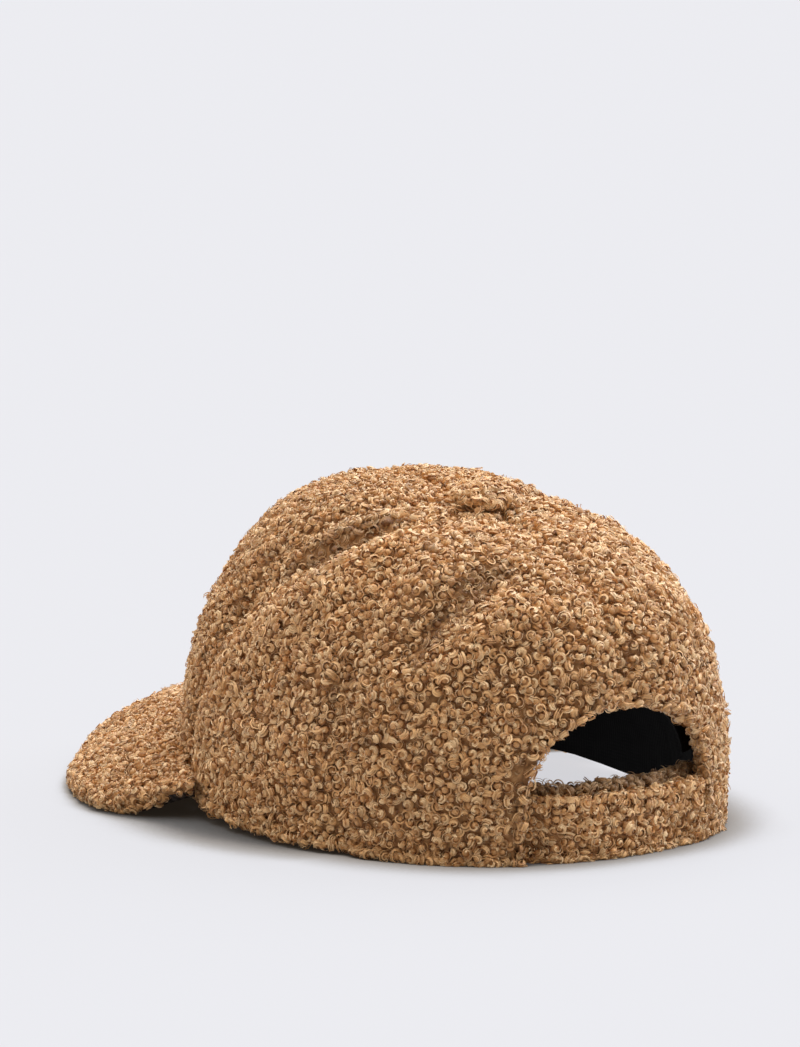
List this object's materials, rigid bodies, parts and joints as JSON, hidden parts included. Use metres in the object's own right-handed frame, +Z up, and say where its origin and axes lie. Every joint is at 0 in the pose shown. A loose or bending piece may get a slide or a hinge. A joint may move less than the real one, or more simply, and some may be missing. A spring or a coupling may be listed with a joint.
{
  "type": "curly-pile baseball cap",
  "caption": "Adult baseball cap of curly pile cloth with a panelled crown, covered button, curved peak, black lining and a pile strap across a half-moon back gap.",
  "frame": {"origin": "bottom centre of the box round the cap, on the surface that it stands on", "axes": "+Z up, +X to the wearer's left, the peak towards -Y"},
  "size_m": [0.2146, 0.2712, 0.115],
  "materials": {
    "pile": "camel-brown curly pile",
    "lining": "plain black woven cloth"
  },
  "bodies": {
    "root": {"crown_front_left": "pile", "crown_front_right": "pile", "crown_side_left": "pile", "crown_side_right": "pile", "crown_back_left": "pile", "crown_back_right": "pile", "button": "pile", "peak": "pile", "strap_outer": "pile", "strap_inner": "pile", "lining": "lining"}
  },
  "joints": []
}
